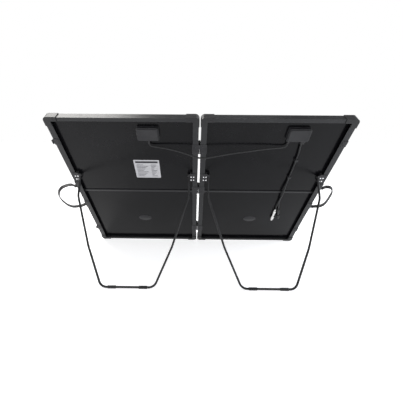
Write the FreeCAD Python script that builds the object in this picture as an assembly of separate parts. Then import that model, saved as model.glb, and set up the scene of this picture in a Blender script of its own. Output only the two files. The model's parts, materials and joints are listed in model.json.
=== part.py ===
import FreeCAD, Part
import math
import os

# A folding solar panel of the suitcase kind, opened flat and standing on its two wire legs.
# It is modelled lying on its glass: X across, Y up the slope from the bottom edge, Z out of the
# back, with Z = 0 on the frame's back plane.  The last step stands it up and moves its origin.
# "left" and "right" are as seen from the back.  All sizes are in millimetres.

V = FreeCAD.Vector
X_AXIS, Y_AXIS, Z_AXIS = V(1, 0, 0), V(0, 1, 0), V(0, 0, 1)
SIDES = {"left": -1, "right": 1}

# ---------------------------------------------------------------- driving dimensions
PANEL_WIDTH = 505.0
PANEL_HEIGHT = 710.0
FRAME_DEPTH = 25.0
PANEL_GAP = 8.0
TILT = 56.2                      # degrees between the panel and the ground

# aluminium frame section
WALL = 1.6
FLANGE_WIDTH = 20.0
END_FLANGE_WIDTH = 13.0          # on the top and bottom rails
FLANGE_THICK = 1.6
FRONT_RIM = 6.6                  # how far the lip and the glass sit behind the frame's front
LIP_WIDTH = 8.0
LIP_THICK = 1.4
SHELF_THICK = 1.4
CORNER_RADIUS = 12.0

# glass, cells and back sheet
GLASS_THICK = 3.2
CELL_THICK = 0.4
SHEET_THICK = 0.4
LAMINATE_INSET = 2.0
CELL_COLUMNS = 3
CELL_ROWS = 12
CELL_GAP = 2.5
CELL_SIDE_MARGIN = 19.0
CELL_END_MARGIN = 29.25

# stiffening bar across the back sheet
BAR_WIDTH = 10.0
BAR_HEIGHT = 3.6
BAR_FROM_TOP = 345.0
BAR_EDGE = 1.2

# moulded corner protectors
CAP_ARM_X = 42.0
CAP_ARM_Y = 30.0
CAP_THICK = 2.2
CAP_FRONT_THICK = 1.6
CAP_CLEARANCE = 0.1
CAP_EDGE = 1.2
CAP_SEAT = 0.4                   # how deep the caps' arms are let into the back flanges

# fold hinges
HINGE_FROM_TOP = (120.0, 329.0, 600.0)
HINGE_LENGTH = 38.0
LEAF_WIDTH = 26.0
LEAF_THICK = 1.6
WEB_THICK = 1.2
WEB_END_GAP = 0.6                # from the fold axis to the end of each web
KNUCKLE_RADIUS = 2.75
KNUCKLE_ARM = (0.3, 1.8)         # depths, from the fold axis, of the arm to each knuckle
HINGE_PIN_RADIUS = 1.5
HINGE_PIN_CLEARANCE = 0.05
KNUCKLE_GAP = 0.3
FOLD_AXIS_PROUD = 3.0            # fold axis in front of the frame's front plane
LEAF_MEETING_GAP = 0.2           # from each leaf's edge to the fold line
HINGE_SCREW_INSET = 13.0
HINGE_SCREW_PITCH = 22.0

# wire legs
LEG_ROD_RADIUS = 4.0
LEG_PIVOT_FROM_TOP = 252.0
LEG_PIVOT_DEPTH = 5.0
LEG_FOOT_FROM_BOTTOM = 32.0      # the stowed foot bar, from the panel's bottom edge
LEG_STRAIGHT = 87.0
LEG_KNEE_FROM_FOOT = 146.0
LEG_KNEE_IN = 60.0               # from the pivots, towards the leg's middle
LEG_FOOT_IN = 121.0
LEG_BEND_RADII = (60.0, 150.0, 30.0)
EYE_WALL = 2.25
EYE_GAP = 1.0                    # between a leg's eye and its bracket's block
LEG_PIN_RADIUS = 2.5
LEG_PIN_CLEARANCE = 0.05
LEG_PIN_HEAD_RADIUS = 4.3
LEG_PIN_HEAD_THICK = 1.6
LEG_PIN_PLAY = 0.35              # between the leg's eye and the pin's head
LEG_PIN_START = 2.0              # where the pin starts, from its block's outer face
SLEEVE_WALL = 1.5
SLEEVE_LENGTH = 30.0
SLEEVE_OFFSET = 57.0

# leg brackets
BRACKET_THICK = 1.8
BRACKET_START = 8.0
BRACKET_END = 29.5
BRACKET_BELOW = 24.0
BRACKET_ABOVE = 16.0
BLOCK_DEPTH = 11.0
BLOCK_CLEARANCE = 0.5
STOP_GAP = 0.3
STOP_ABOVE = 11.0
RIVET_COLUMNS = (15.9, 25.9)
RIVET_ROWS = (0.0, -16.0)
RIVET_RADIUS = 1.6
RIVET_HEAD_RADIUS = 2.9
RIVET_HEAD_HEIGHT = 1.5
RIVET_DOME = 1.2
RIVET_LENGTH = 4.0

# carrying handles
HANDLE_ROOTS_FROM_TOP = (318.0, 437.0)
HANDLE_AXIS_OUT = 6.6
HANDLE_AXIS_DEPTH = 12.0
HANDLE_REST_ANGLE = {"left": 38.0, "right": 20.0}
STRAP_THICK = 3.6
STRAP_WIDTH = 15.0
STRAP_START = 8.0
EYELET_RADIUS = 4.2
EYELET_LENGTH = 11.0
HANDLE_PIN_RADIUS = 2.0
HANDLE_PIN_CLEARANCE = 0.05
LUG_THICK = 2.4
LUG_GAP = 0.35
LUG_RADIUS = 4.6
MOUNT_LENGTH = 42.0
MOUNT_PLATE = 1.5
MOUNT_WIDTH = 19.0
MOUNT_TAB = 17.0
MOUNT_TAB_LENGTH = 9.0

# draw latches on the outer rails
LATCH_FROM_TOP = (92.0, 607.0)
LATCH_LENGTH = 24.0
LATCH_PLATE = 1.5
LATCH_TAB = 16.0
LATCH_AXIS_FROM_FRONT = 6.0
LATCH_AXIS_OUT = 4.5
LEVER_WIDTH = 16.0
LEVER_THICK = 2.4
LEVER_RADIUS = 2.2
LEVER_GAP = 0.3
CLAW_THICK = 1.5
CLAW_GAP = 1.1                   # between the claw and the keeper's bar when they are hooked
CLAW_REACH = 2.7                 # from the lever's axis, away from the rail while it is open
LATCH_PIN_RADIUS = 1.0
LATCH_PIN_CLEARANCE = 0.05
EAR_THICK = 2.0
KEEPER_FROM_FRONT = 4.0
KEEPER_BAR = 3.6
KEEPER_PROUD = 3.0

# junction boxes
BOX_OFFSET = 79.0                # from the panel's middle, towards +X
BOX_SIZE_X = 76.0
BOX_FROM_TOP = 36.0
BOX_SIZE_Y = 49.0
BOX_RIM = 2.2
BOX_FLOOR = 1.6
BOX_BASE_HEIGHT = 12.0
LID_SIZE_X = 70.0
LID_SIZE_Y = 42.0
LID_HEIGHT = 5.6
LID_SKIN = 1.6
BOX_CORNER = 5.0
BOARD_SIZE_X = 60.0
BOARD_SIZE_Y = 32.0
BOARD_THICK = 1.6
DIODE_COUNT = 3
DIODE_RADIUS = 2.6
DIODE_LENGTH = 9.0
GLAND_NUT_RADIUS = 6.0
GLAND_NUT_LENGTH = 5.0
GLAND_TIP_RADIUS = 4.0
GLAND_TIP_LENGTH = 6.0
GLAND_HEIGHT = 7.1               # above the back sheet
LINK_EXIT = {"left": 0.0, "right": -27.5}    # from the box's middle
BOOT_EXIT = 22.0
BOOT_SIZE_X = 15.0
BOOT_HEIGHT = 11.8
BOOT_EDGE = 3.0

# leads
LINK_LEAD_DIAMETER = 6.0
OUTPUT_LEAD_DIAMETER = 5.5
CONNECTOR_STEPS = ((4.2, 10.0), (7.0, 14.0), (5.6, 26.0), (8.0, 12.0), (6.4, 18.0))
CLIPS_UP = (540.0, 455.0)
CLIP_LENGTH = 9.0
CLIP_SIDE = 4.6                  # from a lead's centre to the clip's end
CLIP_COVER = 1.4                 # over the higher lead
CLIP_CLEARANCE = 0.1

# small screws
SCREW_RADIUS = 1.5
SCREW_HEAD_RADIUS = 2.8
SCREW_HEAD_HEIGHT = 1.0
SCREW_DOME = 0.6
SCREW_LENGTH = 3.6
CAP_SCREW = (30.0, 10.0)         # from the panel's side and end edges
LATCH_SCREW_INSET = 9.0
LATCH_SCREW_PITCH = 14.0
HOLED = ("_rail", "_corner", "_leaves", "_brackets", "_mounts")   # what screws and rivets pass through

# ---------------------------------------------------------------- derived places
HALF_GAP = PANEL_GAP / 2
OUTER_EDGE = HALF_GAP + PANEL_WIDTH
PANEL_MIDDLE = HALF_GAP + PANEL_WIDTH / 2
FRONT = -FRAME_DEPTH
LIP_FRONT = FRONT + FRONT_RIM
GLASS_FRONT = LIP_FRONT + LIP_THICK
CELL_FRONT = GLASS_FRONT + GLASS_THICK
SHEET_FRONT = CELL_FRONT + CELL_THICK
SHEET_BACK = SHEET_FRONT + SHEET_THICK
FOLD_AXIS_Z = FRONT - FOLD_AXIS_PROUD
CELL_SIZE_X = (PANEL_WIDTH - 2 * CELL_SIDE_MARGIN - (CELL_COLUMNS - 1) * CELL_GAP) / CELL_COLUMNS
CELL_SIZE_Y = (PANEL_HEIGHT - 2 * CELL_END_MARGIN - (CELL_ROWS - 1) * CELL_GAP) / CELL_ROWS
PIVOT_Y = PANEL_HEIGHT - LEG_PIVOT_FROM_TOP
LEG_LENGTH = PIVOT_Y - LEG_FOOT_FROM_BOTTOM
LEG_INSET = BRACKET_END + EYE_GAP + LEG_ROD_RADIUS
LEG_HALF = PANEL_WIDTH / 2 - LEG_INSET
LEG_PIN_INSET = FLANGE_WIDTH + BLOCK_CLEARANCE + LEG_PIN_START
EYE_RADIUS = LEG_PIN_RADIUS + LEG_PIN_CLEARANCE + EYE_WALL
EYE_WIDTH = 2 * LEG_ROD_RADIUS
SLEEVE_RADIUS = LEG_ROD_RADIUS + SLEEVE_WALL
STOP_REACH = LEG_INSET + LEG_ROD_RADIUS
LATCH_AXIS_DEPTH = FRAME_DEPTH - LATCH_AXIS_FROM_FRONT
KEEPER_DEPTH = FRAME_DEPTH - KEEPER_FROM_FRONT
FOLDED_KEEPER_Z = 2 * FOLD_AXIS_Z + KEEPER_DEPTH - KEEPER_BAR    # the bar's far side, once folded
LEVER_LENGTH = -LATCH_AXIS_DEPTH - FOLDED_KEEPER_Z + CLAW_GAP + CLAW_THICK
GLAND_LENGTH = GLAND_NUT_LENGTH + GLAND_TIP_LENGTH
GLAND_TIP_Y = PANEL_HEIGHT - BOX_FROM_TOP - BOX_SIZE_Y - GLAND_LENGTH


# ---------------------------------------------------------------- helpers
def block(side, u, y, z):
    """A box from spans of distance out from the fold line, height up the slope, and depth."""
    x = sorted((side * u[0], side * u[1]))
    return Part.makeBox(x[1] - x[0], y[1] - y[0], z[1] - z[0], V(x[0], y[0], z[0]))


def rod(radius, start, direction, length):
    return Part.makeCylinder(radius, length, start, direction)


def join(shapes):
    shapes = list(shapes)
    return shapes[0].fuse(shapes[1:]).removeSplitter() if len(shapes) > 1 else shapes[0]


def group(shapes):
    return Part.makeCompound(list(shapes))


def rounded_slab(x, y, z, radius):
    """A slab whose four upright edges are rounded."""
    slab = Part.makeBox(x[1] - x[0], y[1] - y[0], z[1] - z[0], V(x[0], y[0], z[0]))
    upright = [e for e in slab.Edges if abs(e.Vertexes[0].Z - e.Vertexes[-1].Z) > 1e-6]
    return slab.makeFillet(radius, upright)


def panel_slab(side, inset, z, radius):
    x = sorted((side * (HALF_GAP + inset), side * (OUTER_EDGE - inset)))
    return rounded_slab(x, (inset, PANEL_HEIGHT - inset), z, radius)


def rounded_path(points, radii):
    """Straight runs through the points, joined by tangent arcs of the given radii."""
    edges, start = [], points[0]
    for before, corner, after, radius in zip(points, points[1:], points[2:], radii):
        a, b = (before - corner).normalize(), (after - corner).normalize()
        half = a.getAngle(b) / 2
        reach = radius / math.tan(half)
        centre = corner + (a + b).normalize() * (radius / math.sin(half))
        middle = centre + (corner - centre).normalize() * radius
        first, last = corner + a * reach, corner + b * reach
        if (first - start).Length > 1e-4:
            edges.append(Part.LineSegment(start, first).toShape())
        edges.append(Part.Arc(first, middle, last).toShape())
        start = last
    edges.append(Part.LineSegment(start, points[-1]).toShape())
    return Part.Wire(edges)


def tube(path, radius):
    start = path.Edges[0]
    first = start.Vertexes[0].Point
    circle = Part.Circle(first, start.tangentAt(start.FirstParameter), radius)
    return path.makePipeShell([Part.Wire(circle.toShape())], True, False)


def domed_pin(place, radius, length, head_radius, head_height, dome):
    """A domed head on a face, with its shank in the part; and the cutter for the shank's hole."""
    seat = place - Z_AXIS * length
    head = rod(head_radius, place, Z_AXIS, head_height)
    rim = [e for e in head.Edges if e.BoundBox.ZMin > place.z + head_height / 2]
    head = head.makeFillet(dome, rim)
    return head.fuse(rod(radius, seat, Z_AXIS, length)), rod(radius, seat, Z_AXIS, length)


def screw(place):
    return domed_pin(place, SCREW_RADIUS, SCREW_LENGTH, SCREW_HEAD_RADIUS, SCREW_HEAD_HEIGHT,
                     SCREW_DOME)


def rivet(place):
    return domed_pin(place, RIVET_RADIUS, RIVET_LENGTH, RIVET_HEAD_RADIUS, RIVET_HEAD_HEIGHT,
                     RIVET_DOME)


# ---------------------------------------------------------------- frame
def rail_profile(flange):
    """The rail's section, as (distance in from the panel's edge, depth)."""
    slot = SHEET_BACK + SHELF_THICK
    return [(0, FRONT), (WALL, FRONT), (WALL, LIP_FRONT), (LIP_WIDTH, LIP_FRONT),
            (LIP_WIDTH, GLASS_FRONT), (WALL, GLASS_FRONT), (WALL, SHEET_BACK),
            (LIP_WIDTH, SHEET_BACK), (LIP_WIDTH, slot), (WALL, slot), (WALL, -FLANGE_THICK),
            (flange, -FLANGE_THICK), (flange, 0), (0, 0)]


def corner_zone(side, outer, top, x, y, z):
    """A box at one corner of a panel, from spans measured in from its edges."""
    x_edge, x_in = (OUTER_EDGE, -1) if outer else (HALF_GAP, 1)
    y_edge, y_in = (PANEL_HEIGHT, -1) if top else (0, 1)
    return block(side, sorted(x_edge + x_in * e for e in x), sorted(y_edge + y_in * e for e in y), z)


def rail(side, name):
    """One mitred rail of a panel's frame, cut to the panel's rounded outline."""
    span = FLANGE_WIDTH + 1
    corners = {"outer": OUTER_EDGE, "inner": HALF_GAP}
    if name in corners:
        edge, inward = corners[name], (-1 if name == "outer" else 1)
        points = [V(side * (edge + inward * e), 0, z) for e, z in rail_profile(FLANGE_WIDTH)]
        travel = V(0, PANEL_HEIGHT, 0)
        mitre = [V(side * edge, 0, 0), V(side * edge, PANEL_HEIGHT, 0),
                 V(side * (edge + inward * span), PANEL_HEIGHT - span, 0),
                 V(side * (edge + inward * span), span, 0)]
    else:
        edge, inward = (PANEL_HEIGHT, -1) if name == "top" else (0, 1)
        points = [V(side * HALF_GAP, edge + inward * e, z)
                  for e, z in rail_profile(END_FLANGE_WIDTH)]
        travel = V(side * PANEL_WIDTH, 0, 0)
        mitre = [V(side * HALF_GAP, edge, 0), V(side * OUTER_EDGE, edge, 0),
                 V(side * (OUTER_EDGE - span), edge + inward * span, 0),
                 V(side * (HALF_GAP + span), edge + inward * span, 0)]
    body = Part.Face(Part.makePolygon(points + points[:1])).extrude(travel)
    lowered = [p + V(0, 0, FRONT - 1) for p in mitre]
    wedge = Part.Face(Part.makePolygon(lowered + lowered[:1])).extrude(V(0, 0, FRAME_DEPTH + 2))
    outline = panel_slab(side, 0, (FRONT - 1, 1), CORNER_RADIUS)
    seats = [corner_zone(side, outer, top, (-1, CAP_ARM_X + CAP_CLEARANCE),
                         (-1, CAP_ARM_Y + CAP_CLEARANCE), (-CAP_SEAT, 1))
             for outer in (True, False) for top in (True, False)]
    return body.common(wedge).common(outline).cut(group(seats))


def corner_cap(side, outer, top):
    """A moulded protector that wraps one corner of a panel's frame."""
    low, high = FRONT - CAP_FRONT_THICK, CAP_THICK
    shell = panel_slab(side, -CAP_THICK, (low, high), CORNER_RADIUS + CAP_THICK)
    rims = [e for e in shell.Edges if e.BoundBox.ZLength < 1e-6]
    shell = shell.makeFillet(CAP_EDGE, rims)
    def zone(x, y, z):
        return corner_zone(side, outer, top, x, y, z)

    cap = shell.common(zone((-2 * CAP_THICK, CAP_ARM_X), (-2 * CAP_THICK, CAP_ARM_Y),
                            (low - 1, high + 1)))
    cap = cap.cut(panel_slab(side, -CAP_CLEARANCE,
                             (FRONT - CAP_CLEARANCE, CAP_CLEARANCE - CAP_SEAT),
                             CORNER_RADIUS + CAP_CLEARANCE))
    cap = cap.cut(zone((FLANGE_WIDTH, 2 * CAP_ARM_X), (END_FLANGE_WIDTH, 2 * CAP_ARM_Y),
                       (-1, high + 1)))
    return cap.cut(zone((LIP_WIDTH, 2 * CAP_ARM_X), (LIP_WIDTH, 2 * CAP_ARM_Y),
                        (low - 1, FRONT + 1)))


# ---------------------------------------------------------------- laminate
def cell_array(side):
    pitch_x, pitch_y = CELL_SIZE_X + CELL_GAP, CELL_SIZE_Y + CELL_GAP
    cells = []
    for column in range(CELL_COLUMNS):
        for row in range(CELL_ROWS):
            u = PANEL_MIDDLE + (column - (CELL_COLUMNS - 1) / 2) * pitch_x
            y = PANEL_HEIGHT / 2 + (row - (CELL_ROWS - 1) / 2) * pitch_y
            cells.append(block(side, (u - CELL_SIZE_X / 2, u + CELL_SIZE_X / 2),
                               (y - CELL_SIZE_Y / 2, y + CELL_SIZE_Y / 2),
                               (CELL_FRONT, SHEET_FRONT)))
    return cells


def glass(side):
    return panel_slab(side, LAMINATE_INSET, (GLASS_FRONT, CELL_FRONT), CORNER_RADIUS - LAMINATE_INSET)


def back_sheet(side):
    """The back sheet with its encapsulant, which the cells are pressed into."""
    slab = panel_slab(side, LAMINATE_INSET, (CELL_FRONT, SHEET_BACK), CORNER_RADIUS - LAMINATE_INSET)
    return slab.cut(group(cell_array(side)))


def cross_bar(side):
    y = PANEL_HEIGHT - BAR_FROM_TOP
    half = BAR_WIDTH / 2
    bar = block(side, (HALF_GAP + LIP_WIDTH, OUTER_EDGE - LIP_WIDTH), (y - half, y + half),
                (SHEET_BACK, SHEET_BACK + BAR_HEIGHT))
    ridge = [e for e in bar.Edges if e.Length > PANEL_WIDTH / 2 and e.BoundBox.ZMin > SHEET_BACK + 1]
    return bar.makeFillet(BAR_EDGE, ridge)


# ---------------------------------------------------------------- fold hinges
def hinge_knuckles(side, centre):
    """Spans along the slope of the knuckles that belong to one side's leaf."""
    third = HINGE_LENGTH / 3
    low = centre - HINGE_LENGTH / 2
    if side < 0:
        return [(low, low + third - KNUCKLE_GAP / 2),
                (low + 2 * third + KNUCKLE_GAP / 2, low + HINGE_LENGTH)]
    return [(low + third + KNUCKLE_GAP / 2, low + 2 * third - KNUCKLE_GAP / 2)]


def hinge_leaf(side, centre):
    """An L-shaped leaf: a plate on the back flange, and a web down to the knuckles in front."""
    y = (centre - HINGE_LENGTH / 2, centre + HINGE_LENGTH / 2)
    plate = block(side, (LEAF_MEETING_GAP, LEAF_WIDTH), y, (0, LEAF_THICK))
    web = block(side, (HALF_GAP - WEB_THICK, HALF_GAP), y, (FOLD_AXIS_Z + WEB_END_GAP, LEAF_THICK))
    relief = [rod(KNUCKLE_RADIUS + KNUCKLE_GAP, V(0, a - KNUCKLE_GAP / 2, FOLD_AXIS_Z), Y_AXIS,
                  b - a + KNUCKLE_GAP) for a, b in hinge_knuckles(-side, centre)]
    web = web.cut(group(relief))
    parts = [plate, web]
    for a, b in hinge_knuckles(side, centre):
        parts.append(rod(KNUCKLE_RADIUS, V(0, a, FOLD_AXIS_Z), Y_AXIS, b - a))
        parts.append(block(side, (KNUCKLE_RADIUS / 2, HALF_GAP), (a, b),
                           (FOLD_AXIS_Z + KNUCKLE_ARM[0], FOLD_AXIS_Z + KNUCKLE_ARM[1])))
    clearance = HINGE_PIN_CLEARANCE if side > 0 else 0
    bore = rod(HINGE_PIN_RADIUS + clearance, V(0, y[0] - 1, FOLD_AXIS_Z), Y_AXIS, HINGE_LENGTH + 2)
    return join(parts).cut(bore)


def hinge_pin(centre):
    """The pin, held fast in the left leaf's two knuckles."""
    start = V(0, centre - HINGE_LENGTH / 2, FOLD_AXIS_Z)
    return rod(HINGE_PIN_RADIUS, start, Y_AXIS, HINGE_LENGTH)


# ---------------------------------------------------------------- legs
def leg_path():
    """The leg's centreline in its own plane: Y runs from the pivot down to the foot bar."""
    half = [(LEG_HALF, 0), (LEG_HALF, LEG_STRAIGHT),
            (LEG_HALF - LEG_KNEE_IN, LEG_LENGTH - LEG_KNEE_FROM_FOOT),
            (LEG_HALF - LEG_FOOT_IN, LEG_LENGTH)]
    points = [V(x, -y, 0) for x, y in half] + [V(-x, -y, 0) for x, y in reversed(half)]
    return rounded_path(points, LEG_BEND_RADII + tuple(reversed(LEG_BEND_RADII)))


def eye_places():
    return [(end, end * LEG_HALF - EYE_WIDTH / 2) for end in (-1, 1)]


def leg(side):
    """The bent rod with its two eyes, in the leg's own plane."""
    path = leg_path()
    body = tube(path, LEG_ROD_RADIUS)
    eyes = [rod(EYE_RADIUS, V(x, 0, 0), X_AXIS, EYE_WIDTH) for _, x in eye_places()]
    bores = [rod(LEG_PIN_RADIUS + LEG_PIN_CLEARANCE, V(x - 1, 0, 0), X_AXIS, EYE_WIDTH + 2)
             for _, x in eye_places()]
    return place_leg(join([body] + eyes).cut(group(bores)), side)


def foot_sleeves(side):
    sleeves = []
    for end in (-1, 1):
        start = V(end * SLEEVE_OFFSET - SLEEVE_LENGTH / 2, -LEG_LENGTH, 0)
        ring = rod(SLEEVE_RADIUS, start, X_AXIS, SLEEVE_LENGTH)
        ring = ring.makeFillet(0.8, [e for e in ring.Edges if len(e.Vertexes) == 1])
        sleeves.append(ring.cut(rod(LEG_ROD_RADIUS, start - X_AXIS, X_AXIS, SLEEVE_LENGTH + 2)))
    return place_leg(group(sleeves), side)


def place_leg(shape, side):
    """Puts a leg on its panel and swings it out to where its feet meet the ground."""
    shape = shape.copy()
    shape.rotate(V(0, 0, 0), X_AXIS, -LEG_OPEN_ANGLE)
    shape.translate(V(side * PANEL_MIDDLE, PIVOT_Y, -LEG_PIVOT_DEPTH))
    return shape


def leg_open_angle(ground_drop):
    """Degrees from stowed to standing, for feet that meet the same ground as the corner caps."""
    tilt = math.radians(TILT)
    pivot_height = PIVOT_Y * math.sin(tilt) + LEG_PIVOT_DEPTH * math.cos(tilt)
    steepness = math.asin((pivot_height + ground_drop - SLEEVE_RADIUS) / LEG_LENGTH)
    return 180 - TILT - math.degrees(steepness)


def bracket(side, near_fold):
    """A riveted plate whose block holds the leg's pin, with a tongue that stops the leg."""
    def span(a, b):
        if near_fold:
            return (HALF_GAP + a, HALF_GAP + b)
        return (OUTER_EDGE - b, OUTER_EDGE - a)

    low, high = PIVOT_Y - BRACKET_BELOW, PIVOT_Y + BRACKET_ABOVE
    plate = block(side, span(BRACKET_START, BRACKET_END), (low, high), (0, BRACKET_THICK))
    body = block(side, span(FLANGE_WIDTH + BLOCK_CLEARANCE, BRACKET_END), (low, high),
                 (-BLOCK_DEPTH, 0))
    opening = math.radians(LEG_OPEN_ANGLE)
    edge = STOP_GAP - LEG_PIVOT_DEPTH / math.tan(opening) + LEG_ROD_RADIUS / math.sin(opening)
    tongue = block(side, span(BRACKET_END - 1, STOP_REACH), (PIVOT_Y + edge, PIVOT_Y + STOP_ABOVE),
                   (0, BRACKET_THICK))
    shape = join([plate, body, tongue])
    return shape.cut(leg_pin(side, near_fold))


def leg_pin(side, near_fold):
    """The pin, pressed into the bracket's block, with a head outside the leg's eye."""
    start = HALF_GAP + LEG_PIN_INSET if near_fold else OUTER_EDGE - LEG_PIN_INSET
    inward = side if near_fold else -side
    place = V(side * start, PIVOT_Y, -LEG_PIVOT_DEPTH)
    direction = V(inward, 0, 0)
    length = LEG_INSET + EYE_WIDTH / 2 + LEG_PIN_PLAY - LEG_PIN_INSET
    pin = rod(LEG_PIN_RADIUS, place, direction, length)
    head = rod(LEG_PIN_HEAD_RADIUS, place + direction * length, direction, LEG_PIN_HEAD_THICK)
    return pin.fuse(head)


def rivet_places(side):
    """The rivets of both brackets: the points on the plates that their heads sit on."""
    places = []
    for column in RIVET_COLUMNS:
        for u in (HALF_GAP + column, OUTER_EDGE - column):
            places += [V(side * u, PIVOT_Y + row, BRACKET_THICK) for row in RIVET_ROWS]
    return places


# ---------------------------------------------------------------- handles
STRAP_LINES = {
    "left": ((8, 318), (16, 304), (34, 297), (55, 297), (70, 307), (81, 328), (80, 360),
             (69, 398), (55, 420), (34, 431), (18, 437), (8, 437)),
    "right": ((8, 318), (14, 308), (31, 303), (43, 312), (49, 330), (50, 379), (46, 408),
              (35, 423), (20, 430), (8, 437)),
}


def handle_axis(side):
    return V(side * (OUTER_EDGE + HANDLE_AXIS_OUT), 0, -HANDLE_AXIS_DEPTH)


def strap(side, name):
    """A flat strap bent into a loop, with an eyelet at each end, swung to its rest angle."""
    points = [V(side * r, PANEL_HEIGHT - t, 0) for r, t in STRAP_LINES[name]]
    path = slack_path(points)[0]
    across = (points[1] - points[0]).normalize().cross(Z_AXIS)
    corners = [points[0] + across * (a * STRAP_THICK / 2) + Z_AXIS * (b * STRAP_WIDTH / 2)
               for a, b in ((-1, -1), (1, -1), (1, 1), (-1, 1))]
    band = path.makePipeShell([Part.makePolygon(corners + corners[:1])], True, False)
    parts = [band]
    for root in HANDLE_ROOTS_FROM_TOP:
        y = PANEL_HEIGHT - root
        parts.append(rod(EYELET_RADIUS, V(0, y - EYELET_LENGTH / 2, 0), Y_AXIS, EYELET_LENGTH))
        parts.append(block(side, (0, STRAP_START + 2), (y - EYELET_LENGTH / 2, y + EYELET_LENGTH / 2),
                           (-EYELET_RADIUS, EYELET_RADIUS)))
    shape = join(parts)
    bores = [rod(HANDLE_PIN_RADIUS + HANDLE_PIN_CLEARANCE,
                 V(0, PANEL_HEIGHT - root - EYELET_LENGTH, 0), Y_AXIS, 2 * EYELET_LENGTH)
             for root in HANDLE_ROOTS_FROM_TOP]
    shape = shape.cut(group(bores))
    shape.rotate(V(0, 0, 0), Y_AXIS, -side * HANDLE_REST_ANGLE[name])
    shape.translate(handle_axis(side))
    return shape


def mount_span(root):
    """A handle mount's lower and upper ends; its lugs are at the lower end."""
    low = PANEL_HEIGHT - root - EYELET_LENGTH / 2 - LUG_GAP - LUG_THICK
    return low, low + MOUNT_LENGTH


def handle_mount(side, root):
    """A wrapped plate with two lugs and the pin that a strap's eyelet turns on."""
    y = PANEL_HEIGHT - root
    low, high = mount_span(root)
    half = y - low
    middle = -HANDLE_AXIS_DEPTH
    plate = block(side, (OUTER_EDGE, OUTER_EDGE + MOUNT_PLATE), (low, high),
                  (middle - MOUNT_WIDTH / 2, 0))
    tab = block(side, (OUTER_EDGE - MOUNT_TAB, OUTER_EDGE + MOUNT_PLATE),
                (high - MOUNT_TAB_LENGTH, high), (0, MOUNT_PLATE))
    parts = [plate, tab]
    axis = handle_axis(side)
    for start in (y - half, y + half - LUG_THICK):
        parts.append(rod(LUG_RADIUS, V(axis.x, start, axis.z), Y_AXIS, LUG_THICK))
        parts.append(block(side, (OUTER_EDGE, OUTER_EDGE + HANDLE_AXIS_OUT),
                           (start, start + LUG_THICK), (middle - LUG_RADIUS, middle + LUG_RADIUS)))
    parts.append(rod(HANDLE_PIN_RADIUS, V(axis.x, y - half, axis.z), Y_AXIS, 2 * half))
    return join(parts)


# ---------------------------------------------------------------- latches
def latch_base(centre):
    """The left panel's latch plate, with two ears and the lever's pin."""
    y = (centre - LATCH_LENGTH / 2, centre + LATCH_LENGTH / 2)
    plate = block(-1, (OUTER_EDGE, OUTER_EDGE + LATCH_PLATE), y, (-LATCH_AXIS_DEPTH - 2, LATCH_PLATE))
    tab = block(-1, (OUTER_EDGE - LATCH_TAB, OUTER_EDGE + LATCH_PLATE), y, (0, LATCH_PLATE))
    axis = V(-OUTER_EDGE - LATCH_AXIS_OUT, 0, -LATCH_AXIS_DEPTH)
    half = LEVER_WIDTH / 2 + LEVER_GAP
    parts = [plate, tab]
    for start in (centre - half - EAR_THICK, centre + half):
        parts.append(rod(LEVER_RADIUS, V(axis.x, start, axis.z), Y_AXIS, EAR_THICK))
        parts.append(block(-1, (OUTER_EDGE, OUTER_EDGE + LATCH_AXIS_OUT), (start, start + EAR_THICK),
                           (axis.z - LEVER_RADIUS, axis.z + LEVER_RADIUS)))
    parts.append(rod(LATCH_PIN_RADIUS, V(axis.x, centre - half - EAR_THICK, axis.z), Y_AXIS,
                     2 * (half + EAR_THICK)))
    return join(parts)


def latch_lever(centre):
    """The lever lies along the rail; swung right over, its claw hooks the other panel's keeper."""
    axis = V(-OUTER_EDGE - LATCH_AXIS_OUT, 0, -LATCH_AXIS_DEPTH)
    y = (centre - LEVER_WIDTH / 2, centre + LEVER_WIDTH / 2)
    out = OUTER_EDGE + LATCH_AXIS_OUT
    tip = axis.z + LEVER_LENGTH
    plate = block(-1, (out - LEVER_THICK / 2, out + LEVER_THICK / 2), y, (axis.z, tip))
    claw = block(-1, (out, out + CLAW_REACH), y, (tip - CLAW_THICK, tip))
    barrel = rod(LEVER_RADIUS, V(axis.x, y[0], axis.z), Y_AXIS, LEVER_WIDTH)
    bore = rod(LATCH_PIN_RADIUS + LATCH_PIN_CLEARANCE, V(axis.x, y[0] - 1, axis.z), Y_AXIS,
               LEVER_WIDTH + 2)
    return join([plate, claw, barrel]).cut(bore)


def latch_keeper(centre):
    """The right panel's keeper: a wrapped plate with a raised bar."""
    y = (centre - LATCH_LENGTH / 2, centre + LATCH_LENGTH / 2)
    plate = block(1, (OUTER_EDGE, OUTER_EDGE + LATCH_PLATE), y, (-KEEPER_DEPTH, LATCH_PLATE))
    tab = block(1, (OUTER_EDGE - LATCH_TAB, OUTER_EDGE + LATCH_PLATE), y, (0, LATCH_PLATE))
    bar = block(1, (OUTER_EDGE, OUTER_EDGE + KEEPER_PROUD), y,
                (-KEEPER_DEPTH, -KEEPER_DEPTH + KEEPER_BAR))
    return join([plate, tab, bar])


# ---------------------------------------------------------------- junction boxes and leads
def box_middle(side):
    return side * PANEL_MIDDLE + BOX_OFFSET


def box_base(side):
    x = (box_middle(side) - BOX_SIZE_X / 2, box_middle(side) + BOX_SIZE_X / 2)
    y = (PANEL_HEIGHT - BOX_FROM_TOP - BOX_SIZE_Y, PANEL_HEIGHT - BOX_FROM_TOP)
    outer = rounded_slab(x, y, (SHEET_BACK, SHEET_BACK + BOX_BASE_HEIGHT), BOX_CORNER)
    inner = rounded_slab((x[0] + BOX_RIM, x[1] - BOX_RIM), (y[0] + BOX_RIM, y[1] - BOX_RIM),
                         (SHEET_BACK + BOX_FLOOR, SHEET_BACK + BOX_BASE_HEIGHT + 1),
                         BOX_CORNER - BOX_RIM)
    return outer.cut(inner)


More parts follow.
